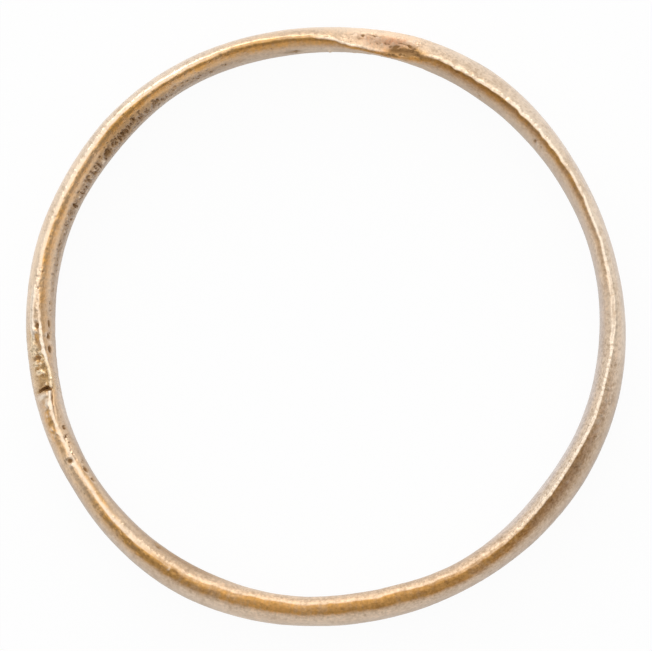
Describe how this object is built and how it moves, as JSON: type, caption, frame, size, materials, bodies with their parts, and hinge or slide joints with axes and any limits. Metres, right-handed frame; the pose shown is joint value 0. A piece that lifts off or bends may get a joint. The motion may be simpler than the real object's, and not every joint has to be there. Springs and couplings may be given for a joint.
{
  "type": "finger ring",
  "caption": "Plain worn band ring with a lens-shaped section, made of a long and a short strip joined by solder at two places.",
  "frame": {"origin": "centre of the ring's bounding box, on the plane of the far edge that it lies on", "axes": "+Z along the finger, from the far edge to the near edge that faces the viewer; +X to the right and +Y up as seen by that viewer"},
  "size_m": [0.02, 0.02, 0.0024],
  "materials": {
    "long_strip_metal": "worn yellow metal, satin, with fine scratches along and across the edge",
    "short_strip_metal": "worn golden metal, satin, with a dark pitted crust low in the bore",
    "upper_solder": "rough coppery solder, dull",
    "left_solder": "pitted golden solder, half dull"
  },
  "bodies": {
    "root": {"hoop_long_strip": "long_strip_metal", "hoop_short_strip": "short_strip_metal", "upper_joint_solder": "upper_solder", "left_joint_solder": "left_solder"}
  },
  "joints": []
}
